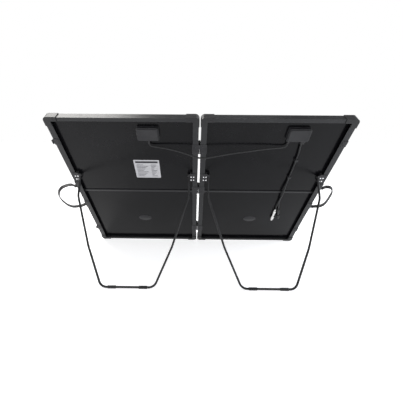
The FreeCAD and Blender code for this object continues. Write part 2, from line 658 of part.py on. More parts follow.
def box_lid(side):
    middle_y = PANEL_HEIGHT - BOX_FROM_TOP - BOX_SIZE_Y / 2
    x = (box_middle(side) - LID_SIZE_X / 2, box_middle(side) + LID_SIZE_X / 2)
    y = (middle_y - LID_SIZE_Y / 2, middle_y + LID_SIZE_Y / 2)
    low = SHEET_BACK + BOX_BASE_HEIGHT
    outer = rounded_slab(x, y, (low, low + LID_HEIGHT), BOX_CORNER)
    top = [e for e in outer.Edges if e.BoundBox.ZMin > low + LID_HEIGHT - 0.01]
    outer = outer.makeFillet(1.4, top)
    skirt = rounded_slab((box_middle(side) - BOX_SIZE_X / 2, box_middle(side) + BOX_SIZE_X / 2),
                         (middle_y - BOX_SIZE_Y / 2, middle_y + BOX_SIZE_Y / 2),
                         (low, low + LID_SKIN), BOX_CORNER)
    inner = rounded_slab((x[0] + BOX_RIM, x[1] - BOX_RIM), (y[0] + BOX_RIM, y[1] - BOX_RIM),
                         (low - 1, low + LID_HEIGHT - LID_SKIN), BOX_CORNER - BOX_RIM)
    return join([outer, skirt]).cut(inner)


def diode_board(side):
    """The circuit board in a junction box, with its bypass diodes and two terminal blocks."""
    x0 = box_middle(side) - BOARD_SIZE_X / 2
    y0 = PANEL_HEIGHT - BOX_FROM_TOP - BOX_SIZE_Y / 2 - BOARD_SIZE_Y / 2
    floor = SHEET_BACK + BOX_FLOOR
    board = Part.makeBox(BOARD_SIZE_X, BOARD_SIZE_Y, BOARD_THICK, V(x0, y0, floor))
    parts = [board]
    pitch = BOARD_SIZE_X / (DIODE_COUNT + 1)
    for i in range(DIODE_COUNT):
        start = V(x0 + pitch * (i + 1), y0 + BOARD_SIZE_Y - 2 - DIODE_LENGTH,
                  floor + BOARD_THICK + DIODE_RADIUS - 0.3)
        parts.append(rod(DIODE_RADIUS, start, Y_AXIS, DIODE_LENGTH))
    for x in (x0 + 3, x0 + BOARD_SIZE_X - 15):
        parts.append(Part.makeBox(12, 9, 6, V(x, y0 + 3, floor + BOARD_THICK)))
    return join(parts)


def gland(side):
    """A cable gland on a box's lower wall, for the link lead: a six-sided nut and a taper."""
    down = V(0, -1, 0)
    offset = LINK_EXIT["left" if side < 0 else "right"]
    start = V(box_middle(side) + offset, GLAND_TIP_Y + GLAND_LENGTH, SHEET_BACK + GLAND_HEIGHT)
    corners = []
    for i in range(7):
        angle = math.radians(60 * i)
        corners.append(start + V(math.cos(angle), 0, math.sin(angle)) * GLAND_NUT_RADIUS)
    nut = Part.Face(Part.makePolygon(corners)).extrude(down * GLAND_NUT_LENGTH)
    tip = Part.makeCone(GLAND_NUT_RADIUS - 1, GLAND_TIP_RADIUS, GLAND_TIP_LENGTH,
                        start + down * GLAND_NUT_LENGTH, down)
    return nut.fuse(tip)


def output_boot():
    """The rounded boot on the right box that both output leads leave by, one over the other."""
    x = box_middle(1) + BOOT_EXIT
    boot = block(1, (x - BOOT_SIZE_X / 2, x + BOOT_SIZE_X / 2),
                 (GLAND_TIP_Y, GLAND_TIP_Y + GLAND_LENGTH), (SHEET_BACK, SHEET_BACK + BOOT_HEIGHT))
    edges = [e for e in boot.Edges if e.BoundBox.YLength > GLAND_LENGTH / 2
             and e.BoundBox.ZMin > SHEET_BACK + 1]
    return boot.makeFillet(BOOT_EDGE, edges)


def slack_path(points):
    """A lead's path: each arc is as large as the two runs beside it allow."""
    radii = []
    for before, corner, after in zip(points, points[1:], points[2:]):
        half_turn = (math.pi - (before - corner).getAngle(after - corner)) / 2
        shorter = min((before - corner).Length, (after - corner).Length)
        radii.append(0.45 * shorter / math.tan(half_turn))
    return rounded_path(points, radii), radii


def lead(name, points, diameter):
    path, radii = slack_path(points)
    solid = tube(path, diameter / 2)
    ratio = solid.Volume / (math.pi * diameter ** 2 / 4 * path.Length)
    print(f"{name}: {path.Length:.1f} long, volume ratio {ratio:.4f}, radii "
          f"{[round(r, 1) for r in radii]}")
    return solid


def connector(points):
    """A stepped plug, square on the end of its lead."""
    start = points[-1]
    direction = (points[-1] - points[-2]).normalize()
    parts = []
    for radius, length in CONNECTOR_STEPS:
        parts.append(rod(radius, start, direction, length))
        start = start + direction * length
    return join(parts)


def lead_at(points, y):
    """Where a lead that runs down the slope passes a given height."""
    for upper, lower in zip(points, points[1:]):
        if upper.y >= y > lower.y:
            return upper + (lower - upper) * ((upper.y - y) / (upper.y - lower.y))


def lead_clip(y):
    """A stick-on clip that holds both output leads to the back sheet."""
    a, b = (lead_at(OUTPUT_LEAD[sign], y) for sign in ("positive", "negative"))
    top = max(a.z, b.z) + OUTPUT_LEAD_DIAMETER / 2 + CLIP_COVER
    clip = rounded_slab((a.x - CLIP_SIDE, b.x + CLIP_SIDE),
                        (y - CLIP_LENGTH / 2, y + CLIP_LENGTH / 2), (SHEET_BACK, top), 1.5)
    for points in OUTPUT_LEAD.values():
        near = [p for p in points if abs(p.y - y) < 60]
        clip = clip.cut(tube(slack_path(near)[0], OUTPUT_LEAD_DIAMETER / 2 + CLIP_CLEARANCE))
    return clip


# The leads' points are chosen by hand: across, up the slope, and out of the back.
LINK_LEAD = [V(*p) for p in (
    (-177.5, 614, -5.9), (-177.5, 608.2, -5.9), (-174.8, 603.2, -5.4), (-169.5, 600, -4.8),
    (-160.5, 598.5, -3.8), (-145, 597.6, -1.6), (-118, 595.4, 3), (-82, 590.9, 10),
    (-46, 584.4, 18.5), (-15, 576.2, 26.4), (12, 572.8, 30), (42, 576.4, 26.9), (82, 582.4, 21.6),
    (128, 587.8, 15.9), (174, 591.6, 10.8), (214, 594.9, 5.6), (250, 597, 1), (275.5, 597.6, -2.3),
    (291, 598.4, -3.8), (300, 600, -4.8), (305.3, 603.2, -5.5), (308, 608.2, -5.9),
    (308, 614, -5.9))]
OUTPUT_LEAD = {
    "positive": [V(*p) for p in (
        (356.1, 614, -4.9), (356.1, 604.5, -4.9), (357.5, 593.5, -5), (359.4, 580.5, -5),
        (360.7, 563, -5), (361.4, 541, -5), (361.7, 514, -5), (361.7, 482, -5), (361.5, 448, -5),
        (360.7, 420, -3.3), (360, 399, 0.7), (359.7, 381, 3.8), (359.6, 357, 3.9),
        (359.9, 339, 0.9), (360.3, 318, -3.5), (360.4, 301, -4.9), (359.9, 285, -4.9),
        (359.7, 268, -4.8), (359.8, 254.8, -4.8))],
    "negative": [V(*p) for p in (
        (359, 614, -10), (359, 604.5, -10), (360.4, 593.5, -10.1), (362.3, 580.5, -10.1),
        (363.6, 563, -10.1), (364.3, 541, -10.1), (364.6, 514, -10.1), (364.6, 482, -10.1),
        (364.4, 448, -10.1), (363.6, 420, -8.4), (362.9, 399, -4.4), (362.6, 381, -1.3),
        (362.5, 357, -1.2), (362.8, 339, -4.2), (363.9, 318, -8.2), (365.2, 304, -8.2),
        (366.8, 290.5, -6.2), (368.2, 278, -4.9), (370.9, 266.5, -4.8))],
}


# ---------------------------------------------------------------- screws
def screw_places(side):
    """Every screw of one panel: the point on the face that its head sits on."""
    places = []
    for outer in (True, False):
        u = OUTER_EDGE - CAP_SCREW[0] if outer else HALF_GAP + CAP_SCREW[0]
        places += [V(side * u, y, CAP_THICK) for y in (CAP_SCREW[1], PANEL_HEIGHT - CAP_SCREW[1])]
    for from_top in HINGE_FROM_TOP:
        y = PANEL_HEIGHT - from_top
        places += [V(side * HINGE_SCREW_INSET, y + step, LEAF_THICK)
                   for step in (-HINGE_SCREW_PITCH / 2, HINGE_SCREW_PITCH / 2)]
    for from_top in LATCH_FROM_TOP:
        y = PANEL_HEIGHT - from_top
        places += [V(side * (OUTER_EDGE - LATCH_SCREW_INSET), y + step, LATCH_PLATE)
                   for step in (-LATCH_SCREW_PITCH / 2, LATCH_SCREW_PITCH / 2)]
    for root in HANDLE_ROOTS_FROM_TOP:
        y = mount_span(root)[1] - MOUNT_TAB_LENGTH / 2
        places.append(V(side * (OUTER_EDGE - MOUNT_TAB / 2), y, MOUNT_PLATE))
    return places


# ---------------------------------------------------------------- the whole panel
nodes = {}
for name, side in SIDES.items():
    for top in (True, False):
        for outer in (True, False):
            place = ("top" if top else "bottom") + ("_outer" if outer else "_inner")
            nodes[f"{name}_{place}_corner"] = corner_cap(side, outer, top)


def stand_up(shape):
    """Turns the part from lying on its glass to leaning back at its working tilt."""
    shape = shape.copy()
    shape.rotate(V(0, 0, 0), X_AXIS, 180 - TILT)
    return shape


ground_drop = -stand_up(group(nodes.values())).optimalBoundingBox(False).ZMin
LEG_OPEN_ANGLE = leg_open_angle(ground_drop)

for name, side in SIDES.items():
    middle_rows = [PANEL_HEIGHT - from_top for from_top in HINGE_FROM_TOP]
    for rail_name in ("top", "bottom", "outer", "inner"):
        nodes[f"{name}_{rail_name}_rail"] = rail(side, rail_name)
    nodes[f"{name}_glass"] = glass(side)
    nodes[f"{name}_cells"] = group(cell_array(side))
    nodes[f"{name}_backsheet"] = back_sheet(side)
    nodes[f"{name}_crossbar"] = cross_bar(side)
    nodes[f"{name}_junction_base"] = box_base(side)
    nodes[f"{name}_junction_lid"] = box_lid(side)
    nodes[f"{name}_diode_board"] = diode_board(side)
    nodes[f"{name}_hinge_leaves"] = group(hinge_leaf(side, y) for y in middle_rows)
    nodes[f"{name}_leg"] = leg(side)
    nodes[f"{name}_foot_sleeves"] = foot_sleeves(side)
    nodes[f"{name}_leg_brackets"] = group(bracket(side, near_fold) for near_fold in (True, False))
    nodes[f"{name}_leg_pins"] = group(leg_pin(side, near_fold) for near_fold in (True, False))
    nodes[f"{name}_handle_strap"] = strap(side, name)
    nodes[f"{name}_handle_mounts"] = group(handle_mount(side, r) for r in HANDLE_ROOTS_FROM_TOP)
nodes["hinge_pins"] = group(hinge_pin(PANEL_HEIGHT - from_top) for from_top in HINGE_FROM_TOP)
nodes["latch_bases"] = group(latch_base(PANEL_HEIGHT - from_top) for from_top in LATCH_FROM_TOP)
nodes["latch_keepers"] = group(latch_keeper(PANEL_HEIGHT - from_top) for from_top in LATCH_FROM_TOP)
nodes["upper_latch_lever"] = latch_lever(PANEL_HEIGHT - LATCH_FROM_TOP[0])
nodes["lower_latch_lever"] = latch_lever(PANEL_HEIGHT - LATCH_FROM_TOP[1])
nodes["left_lead_gland"] = gland(-1)
nodes["right_lead_glands"] = group((gland(1), output_boot()))
nodes["lead_clips"] = group(lead_clip(y) for y in CLIPS_UP)
nodes["output_connectors"] = group(connector(points) for points in OUTPUT_LEAD.values())

# the fasteners, and the holes they leave in everything they pass through
for name, side in SIDES.items():
    screws = [screw(place) for place in screw_places(side)]
    rivets = [rivet(place) for place in rivet_places(side)]
    holes = group([made[1] for made in screws + rivets])
    for node in list(nodes):
        own_latch = node.startswith("latch") and (node == "latch_bases") == (side < 0)
        if own_latch or (node.startswith(name) and node.endswith(HOLED)):
            nodes[node] = nodes[node].cut(holes)
    nodes[f"{name}_screws"] = group(made[0] for made in screws)
    nodes[f"{name}_rivets"] = group(made[0] for made in rivets)

# The origin is under the middle of the standing part; the leads aren't counted in that.
box = stand_up(group(nodes[n] for n in nodes if n != "output_connectors")).optimalBoundingBox(False)
ORIGIN_SHIFT = V(-box.Center.x, -box.Center.y, -box.ZMin)

nodes["link_lead"] = lead("link_lead", LINK_LEAD, LINK_LEAD_DIAMETER)
for sign, points in OUTPUT_LEAD.items():
    nodes[f"output_lead_{sign}"] = lead(f"output_lead_{sign}", points, OUTPUT_LEAD_DIAMETER)

os.makedirs("parts", exist_ok=True)
for node, shape in nodes.items():
    shape = stand_up(shape)
    shape.translate(ORIGIN_SHIFT)
    shape.exportStep(f"parts/{node}.step")
print(f"{len(nodes)} nodes, leg opens {LEG_OPEN_ANGLE:.2f} degrees, size "
      f"{box.XLength:.1f} x {box.YLength:.1f} x {box.ZLength:.1f}")
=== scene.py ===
# %% [markdown]
# # A folding solar panel, seen from behind
# Two framed glass panels are hinged side by side and stand open on wire legs, with their glass
# facing up and away and their backs towards us.  The frame, legs, hinges and latches already
# exist as exact parts, so here they only get their finishes.  What the eye wants more of is
# modelled in this file: the leads, junction boxes, plugs, label and badges.

# %% Load the exact parts
import json
import math

import bpy
from mathutils import Euler, Matrix, Vector


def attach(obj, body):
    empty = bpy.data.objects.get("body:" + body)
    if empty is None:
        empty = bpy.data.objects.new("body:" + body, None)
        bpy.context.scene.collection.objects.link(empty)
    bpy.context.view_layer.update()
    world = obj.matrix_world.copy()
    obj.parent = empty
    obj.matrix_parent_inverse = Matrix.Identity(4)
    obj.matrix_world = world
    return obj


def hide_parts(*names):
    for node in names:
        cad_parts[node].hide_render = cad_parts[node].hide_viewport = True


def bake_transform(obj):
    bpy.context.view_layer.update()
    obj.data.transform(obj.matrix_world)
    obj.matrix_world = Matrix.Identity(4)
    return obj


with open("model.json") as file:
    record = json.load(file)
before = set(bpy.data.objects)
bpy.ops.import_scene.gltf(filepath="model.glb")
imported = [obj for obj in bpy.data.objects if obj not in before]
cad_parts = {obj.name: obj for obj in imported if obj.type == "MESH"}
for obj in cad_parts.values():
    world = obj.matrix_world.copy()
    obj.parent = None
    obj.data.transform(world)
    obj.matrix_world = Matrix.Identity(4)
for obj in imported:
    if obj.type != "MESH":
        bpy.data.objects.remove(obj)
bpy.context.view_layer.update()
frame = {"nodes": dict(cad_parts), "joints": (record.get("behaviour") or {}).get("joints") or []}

nodes = frame["nodes"]
print(len(nodes), "exact parts loaded")

# %% [markdown]
# ## The panel's own axes
# Nearly everything sits on a leaning panel, so places are easier to give in the panel's own
# axes: metres across from the fold, up the slope from the bottom edge, and out of the back.
# The fold's hinge tells us where those axes lie.  Pieces are modelled flat in them, as if the
# panel lay on its glass on a bench, and are then stood up with it in one step.

# %% The panel's axes, from the fold hinge
PANEL_HEIGHT = 0.710
PANEL_WIDTH = 0.505
HALF_GAP = 0.004
PANEL_MIDDLE = HALF_GAP + PANEL_WIDTH / 2
SHEET_BACK = -0.0130             # the back sheet's surface, behind the frame's back plane
FOLD_HINGE = (PANEL_HEIGHT - 0.329, -0.028)   # the fold joint's height up the slope, and depth
SIDES = {"left": -1, "right": 1}

fold = next(joint for joint in frame["joints"] if joint["name"] == "panel_fold")
across = Vector((1, 0, 0))
up_slope = Vector(fold["axis"]).normalized()
outward = across.cross(up_slope)
bench_origin = Vector(fold["pos_m"]) - up_slope * FOLD_HINGE[0] - outward * FOLD_HINGE[1]
STAND_UP = Matrix((across, up_slope, outward)).transposed().to_4x4()
STAND_UP.translation = bench_origin
tilt = math.degrees(math.acos(outward.dot(Vector((0, 0, -1)))))
print("the panels lean at", round(tilt, 1), "degrees; the bench's origin stands at", bench_origin)


# %% Helpers for working as by hand
def deselect():
    if bpy.context.mode != "OBJECT":
        bpy.ops.object.mode_set(mode="OBJECT")
    bpy.ops.object.select_all(action="DESELECT")


def pick(piece):
    deselect()
    piece.select_set(True)
    bpy.context.view_layer.objects.active = piece


def apply_place(piece):
    pick(piece)
    bpy.ops.object.transform_apply(location=True, rotation=True, scale=True)


def stand_up(piece):
    """Moves a piece from the bench to its place on the leaning panel."""
    piece.matrix_world = STAND_UP @ piece.matrix_world
    apply_place(piece)
    return piece


def smooth(piece, angle=35):
    pick(piece)
    bpy.ops.object.shade_smooth_by_angle(angle=math.radians(angle))


def add_box(name, x, y, z):
    """A box primitive from its spans, ready to be shaped."""
    deselect()
    middle = [(a + b) / 2 for a, b in (x, y, z)]
    bpy.ops.mesh.primitive_cube_add(size=1, location=middle)
    piece = bpy.context.object
    piece.name = piece.data.name = name
    piece.scale = [b - a for a, b in (x, y, z)]
    apply_place(piece)
    return piece


def add_round(name, radius, place, length, direction=(0, 0, 1), sides=32):
    """A cylinder primitive that starts at a place and points along a direction."""
    deselect()
    direction = Vector(direction).normalized()
    middle = Vector(place) + direction * length / 2
    bpy.ops.mesh.primitive_cylinder_add(vertices=sides, radius=radius, depth=length,
                                        location=middle,
                                        rotation=direction.to_track_quat("Z", "Y").to_euler())
    piece = bpy.context.object
    piece.name = piece.data.name = name
    apply_place(piece)
    return piece


def select_faces(piece, test):
    """Enters edit mode with just the faces that pass a test of their centre and normal."""
    pick(piece)
    bpy.ops.object.mode_set(mode="EDIT")
    bpy.ops.mesh.select_mode(type="FACE")
    bpy.ops.mesh.select_all(action="DESELECT")
    bpy.ops.object.mode_set(mode="OBJECT")
    for face in piece.data.polygons:
        face.select = bool(test(face.center, face.normal))
    bpy.ops.object.mode_set(mode="EDIT")


def select_edges(piece, test):
    """Enters edit mode with just the edges that pass a test of their middle and direction."""
    pick(piece)
    bpy.ops.object.mode_set(mode="EDIT")
    bpy.ops.mesh.select_mode(type="EDGE")
    bpy.ops.mesh.select_all(action="DESELECT")
    bpy.ops.object.mode_set(mode="OBJECT")
    for edge in piece.data.edges:
        a, b = (piece.data.vertices[i].co for i in edge.vertices)
        edge.select = bool(test((a + b) / 2, (b - a).normalized()))
    bpy.ops.object.mode_set(mode="EDIT")


def round_edges(piece, width, segments, test):
    select_edges(piece, test)
    bpy.ops.mesh.bevel(offset=width, segments=segments, affect="EDGES", profile=0.5)
    bpy.ops.object.mode_set(mode="OBJECT")


def soften(piece, width, segments=2, angle=30):
    """A bevel modifier on every sharp edge, applied."""
    pick(piece)
    bevel = piece.modifiers.new("soft_edges", "BEVEL")
    bevel.width = width
    bevel.segments = segments
    bevel.limit_method = "ANGLE"
    bevel.angle_limit = math.radians(angle)
    bevel.harden_normals = False
    bpy.ops.object.modifier_apply(modifier=bevel.name)


def merge(name, pieces):
    deselect()
    for piece in pieces:
        piece.select_set(True)
    bpy.context.view_layer.objects.active = pieces[0]
    if len(pieces) > 1:
        bpy.ops.object.join()
    pieces[0].name = pieces[0].data.name = name
    return pieces[0]


def finish_piece(piece, body, material, angle=35):
    """Stands a bench-made piece up, smooths it, and gives it its body and finish."""
    stand_up(piece)
    smooth(piece, angle)
    piece.data.materials.clear()
    piece.data.materials.append(material)
    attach(piece, body)
    return piece


print("helpers ready")

# %% [markdown]
# ## The camera
# It stands behind the panels at about their top edge's height and looks a little down, through
# a wide lens.  A wide lens up close is what splays the two panels' outer edges so strongly.
# The lens is also moved sideways a little, because the view isn't centred on its axis.

# %% Camera
CAMERA_PLACE = (-0.0088, -0.9871, 0.5282)
CAMERA_DOWN = 14.65
CAMERA_TURN = 0.57
CAMERA_ROLL = 0.47
deselect()
bpy.ops.object.camera_add(location=CAMERA_PLACE)
camera = bpy.context.object
camera.name = "camera"
aim = Euler((math.radians(90 - CAMERA_DOWN), 0, math.radians(CAMERA_TURN))).to_matrix().to_4x4()
roll = Matrix.Rotation(math.radians(CAMERA_ROLL), 4, "Z")
camera.matrix_world = Matrix.Translation(CAMERA_PLACE) @ aim @ roll
camera.data.sensor_width = 36
camera.data.lens = 21.27
camera.data.shift_x = 0.0248
bpy.context.scene.camera = camera
print("camera lens", camera.data.lens, "mm")

# %% [markdown]
# ## The room
# A big pale floor, a pale wall of light all round, and a darker ceiling.  The backs of the
# panels look down, so they mirror the floor: shaded under the panels, bright beyond them.  One
# soft lamp high on the left puts the long pale streak on the left panel's top edge.

# %% Floor and lamps
FLOOR_COLOUR = (0.86, 0.86, 0.87, 1)
ROOM_BRIGHTNESS = 1.0
CEILING_BRIGHTNESS = 0.22
FLOOR_GLOW = 0.62                # a lit table, so the floor stays even out to the horizon
deselect()
bpy.ops.mesh.primitive_plane_add(size=60, location=(0, 0, -0.0004))
floor = bpy.context.object
floor.name = "floor"

LAMPS = {
    # name: place, what it points at, size, power in watts, colour
    "lamp_high_left": ((-1.45, 0.75, 2.3), (-0.5, 0.0, 0.4), 1.3, 42, (1.0, 0.985, 0.96)),
    "lamp_front": ((0.3, -2.4, 2.6), (0.0, -0.2, 0.1), 2.4, 22, (1.0, 1.0, 1.0)),
    "lamp_cool_right": ((2.4, -0.4, 1.5), (0.9, -0.1, 0.0), 1.4, 26, (0.80, 0.88, 1.0)),
    "lamp_behind": ((0.2, 2.6, 2.4), (0.0, 0.2, 0.3), 2.4, 26, (1.0, 1.0, 1.0)),
}
for name, (place, target, size, power, colour) in LAMPS.items():
    deselect()
    bpy.ops.object.light_add(type="AREA", location=place)
    lamp = bpy.context.object
    lamp.name = name
    lamp.rotation_euler = (Vector(target) - Vector(place)).to_track_quat("-Z", "Y").to_euler()
    lamp.data.size = size
    lamp.data.energy = power
    lamp.data.color = colour
print(len(LAMPS), "lamps")

# %% The room's light: bright at eye level, darker overhead
room = bpy.data.worlds.new("room")
bpy.context.scene.world = room
room.use_nodes = True
tree = room.node_tree
direction = tree.nodes.new("ShaderNodeTexCoord")
split = tree.nodes.new("ShaderNodeSeparateXYZ")
fade = tree.nodes.new("ShaderNodeMapRange")
fade.interpolation_type = "SMOOTHSTEP"
fade.inputs["From Min"].default_value = 0.45
fade.inputs["From Max"].default_value = 0.80
fade.inputs["To Min"].default_value = ROOM_BRIGHTNESS
fade.inputs["To Max"].default_value = CEILING_BRIGHTNESS
tree.links.new(direction.outputs["Generated"], split.inputs["Vector"])
tree.links.new(split.outputs["Z"], fade.inputs["Value"])
tree.links.new(fade.outputs["Result"], tree.nodes["Background"].inputs["Strength"])
tree.nodes["Background"].inputs["Color"].default_value = (1, 1, 1, 1)
bpy.context.scene.view_settings.view_transform = "Standard"
print("room lit")

# %% [markdown]
# ## Shared effects, as node groups
# Nearly every part here is black, so colour does little: what tells plastic from anodised metal
# is how rough it is, how fine its grain is, and how bright a painted highlight its edges get.
# Each such effect is a node group, built once and given its own values in each material.


# %% A short way to write nodes
class Nodes:
    """A node tree with short calls for adding and linking nodes."""

    def __init__(self, tree):
        self.tree = tree

    def add(self, kind, **settings):
        node = self.tree.nodes.new("ShaderNode" + kind)
        for name, value in settings.items():
            if hasattr(node, name):
                setattr(node, name, value)
            else:
                self.put(node, name, value)
        return node

    def put(self, node, socket, value):
        if isinstance(socket, str):
            socket = node.inputs.get(socket) or node.inputs[socket.replace("_", " ")]
        else:
            socket = node.inputs[socket]
        if isinstance(value, bpy.types.NodeSocket):
            self.tree.links.new(value, socket)
        else:
            socket.default_value = value

    def maths(self, operation, a, b=0.0, clamp=False):
        node = self.add("Math", operation=operation, use_clamp=clamp)
        self.put(node, 0, a)
        self.put(node, 1, b)
        return node.outputs[0]

    def noise(self, vector, scale, detail=3.0, roughness=0.55):
        node = self.add("TexNoise", Scale=scale, Detail=detail, Roughness=roughness)
        self.put(node, "Vector", vector)
        return node.outputs["Fac"]

    def remap(self, value, low, high, to_low, to_high):
        node = self.add("MapRange", clamp=True)
        for socket, number in zip(("Value", "From Min", "From Max", "To Min", "To Max"),
                                  (value, low, high, to_low, to_high)):
            self.put(node, socket, number)
        return node.outputs["Result"]

    def blend(self, amount, a, b):
        node = self.add("Mix", data_type="RGBA")
        self.put(node, 0, amount)
        self.put(node, 6, a)
        self.put(node, 7, b)
        return node.outputs[2]


def start_group(name, takes, gives):
    """A node group with its named inputs and outputs."""
    tree = bpy.data.node_groups.new(name, "ShaderNodeTree")
    for label, value in takes.items():
        vector = value is None
        kind = "NodeSocketVector" if vector else "NodeSocketFloat"
        socket = tree.interface.new_socket(label, in_out="INPUT", socket_type=kind)
        if not vector:
            socket.default_value = value
    for label in gives:
        tree.interface.new_socket(label, in_out="OUTPUT", socket_type="NodeSocketFloat")
    nodes_of = Nodes(tree)
    return nodes_of, tree.nodes.new("NodeGroupInput").outputs, tree.nodes.new("NodeGroupOutput")


print("node helpers ready")

# %% Moulded grain: the spark-eroded texture of plastic, as a height
n, given, result = start_group("moulded_grain", {"Place": None, "Scale": 900.0}, ["Height"])
cells = n.add("TexVoronoi", feature="SMOOTH_F1")
n.put(cells, "Vector", given["Place"])
n.put(cells, "Scale", given["Scale"])
n.put(cells, "Smoothness", 0.6)
coarse = n.add("TexNoise", Detail=2.0)
n.put(coarse, "Vector", given["Place"])
n.put(coarse, "Scale", n.maths("MULTIPLY", given["Scale"], 0.31))
n.put(result, 0, n.maths("ADD", cells.outputs["Distance"], coarse.outputs["Fac"]))
moulded_grain = n.tree

# %% Die lines: the long fine streaks left on an extruded or rolled surface
n, given, result = start_group("die_lines", {"Place": None, "Scale": 260.0}, ["Height"])
stretch = n.add("Mapping")
n.put(stretch, "Vector", given["Place"])
n.put(stretch, "Scale", (0.012, 1.0, 1.0))
fine = n.add("TexNoise", Detail=4.0, Roughness=0.65)
n.put(fine, "Vector", stretch.outputs[0])
n.put(fine, "Scale", given["Scale"])
n.put(result, 0, fine.outputs["Fac"])
die_lines = n.tree

# %% Handling: a soft blotchy mask of smudges and dust
n, given, result = start_group("handling", {"Place": None, "Scale": 9.0, "Amount": 0.5}, ["Mask"])
broad = n.add("TexNoise", Detail=5.0, Roughness=0.6, Distortion=0.7)
n.put(broad, "Vector", given["Place"])
n.put(broad, "Scale", given["Scale"])
spots = n.add("TexNoise", Detail=2.0)
n.put(spots, "Vector", given["Place"])
n.put(spots, "Scale", n.maths("MULTIPLY", given["Scale"], 14.0))
smudge = n.remap(broad.outputs["Fac"], 0.45, 0.72, 0.0, 0.8)
speck = n.remap(spots.outputs["Fac"], 0.60, 0.72, 0.0, 0.5)
both = n.maths("ADD", smudge, speck, clamp=True)
n.put(result, 0, n.maths("MULTIPLY", both, given["Amount"]))
handling = n.tree

# %% Painted edge highlight: a lighter colour where the rounded normal and the true one part, broken up by noise
n, given, result = start_group("painted_edge_highlight", {"Place": None, "Radius": 0.0006, "Amount": 0.5},
                               ["Mask"])
rounded = n.add("Bevel", samples=4)
n.put(rounded, "Radius", given["Radius"])
true_normal = n.add("NewGeometry")
match = n.add("VectorMath", operation="DOT_PRODUCT")
n.put(match, 0, rounded.outputs[0])
n.put(match, 1, true_normal.outputs["Normal"])
edge = n.remap(match.outputs["Value"], 0.90, 0.995, 1.0, 0.0)
patchy = n.remap(n.noise(given["Place"], 70.0, 4.0), 0.38, 0.66, 0.1, 1.0)
n.put(result, 0, n.maths("MULTIPLY", n.maths("MULTIPLY", edge, patchy), given["Amount"],
                         clamp=True))
painted_edge_highlight = n.tree
print("four shared effects")


# %% [markdown]
# ## Finishes
# One recipe makes most of them: a dark base that smudges lighten a little, a painted highlight
# that tints the sharp edges lighter, a grain that breaks up the reflections, and a roughness that
# wanders with the handling.  What changes is the grain, its depth and the numbers.

# %% One recipe for coated and moulded surfaces
def make_finish(name, colour, roughness, grain=moulded_grain, grain_scale=900.0,
                grain_depth=0.00002, edge_highlight=0.35, edge_highlight_colour=(0.10, 0.10, 0.105), dust=0.12,
                wander=0.08, metallic=0.0, specular=0.28, turn=0.0, edge=0.0006):
    material = bpy.data.materials.new(name)
    material.use_nodes = True
    n = Nodes(material.node_tree)
    surface = material.node_tree.nodes["Principled BSDF"]
    place = n.add("TexCoord").outputs["Object"]
    turned = n.add("Mapping")
    n.put(turned, "Vector", place)
    n.put(turned, "Rotation", (math.radians(turn), 0, 0) if turn else (0, 0, 0))

    def effect(tree, **values):
        node = n.add("Group", node_tree=tree)
        n.put(node, "Place", turned.outputs[0])
        for label, value in values.items():
            n.put(node, label, value)
        return node.outputs[0]

    smudges = effect(handling, Scale=9.0, Amount=1.0)
    # painted highlight: sharp edges are tinted lighter, broken up by noise
    edge_highlight_mask = effect(painted_edge_highlight, Radius=edge, Amount=edge_highlight)
    dusty = tuple(c + 0.05 for c in colour)
    tinted = n.blend(n.maths("MULTIPLY", smudges, dust), (*colour, 1), (*dusty, 1))
    # the painted edge highlight is mixed into the base colour here
    n.put(surface, "Base Color", n.blend(edge_highlight_mask, tinted, (*edge_highlight_colour, 1)))
    wandering = n.remap(smudges, 0.0, 1.0, roughness, roughness + wander)
    n.put(surface, "Roughness", wandering)
    surface.inputs["Metallic"].default_value = metallic
    surface.inputs["Specular IOR Level"].default_value = specular
    bump = n.add("Bump")
    n.put(bump, "Height", effect(grain, Scale=grain_scale))
    bump.inputs["Distance"].default_value = grain_depth
    bump.inputs["Strength"].default_value = 1.0
    n.put(surface, "Normal", bump.outputs[0])
    return material


# %% The coated metals
# each finish below tints its sharp edges lighter as a painted highlight
anodised_across = make_finish("black_anodised_across", (0.014, 0.0145, 0.016), 0.30, die_lines,
                              260, 0.00002, edge_highlight=0.5, edge_highlight_colour=(0.22, 0.22, 0.23))
anodised_up = make_finish("black_anodised_up", (0.014, 0.0145, 0.016), 0.30, moulded_grain,
                          1400, 0.000008, edge_highlight=0.5, edge_highlight_colour=(0.22, 0.22, 0.23))
hinge_black = make_finish("hinge_black", (0.016, 0.016, 0.018), 0.36, grain_scale=1600,
                          grain_depth=0.000012, edge_highlight=0.7, edge_highlight_colour=(0.26, 0.26, 0.27))
leg_coat = make_finish("leg_powder_coat", (0.012, 0.012, 0.013), 0.40, grain_scale=700,
                       grain_depth=0.00004, edge_highlight=0.3)
black_oxide = make_finish("black_oxide", (0.03, 0.03, 0.032), 0.34, grain_scale=2200,
                          grain_depth=0.000008, metallic=0.6, edge_highlight=0.6,
                          edge_highlight_colour=(0.35, 0.35, 0.36))
bright_rivet = make_finish("bright_rivet", (0.86, 0.86, 0.88), 0.24, grain_scale=2500,
                           grain_depth=0.00001, metallic=1.0, edge_highlight=0.2,
                           edge_highlight_colour=(0.95, 0.95, 0.96), dust=0.0)
nickel = make_finish("nickel", (0.74, 0.73, 0.72), 0.20, grain_scale=1900,
                     grain_depth=0.000008, metallic=1.0, edge_highlight=0.2,
                     edge_highlight_colour=(0.9, 0.9, 0.9), dust=0.0)
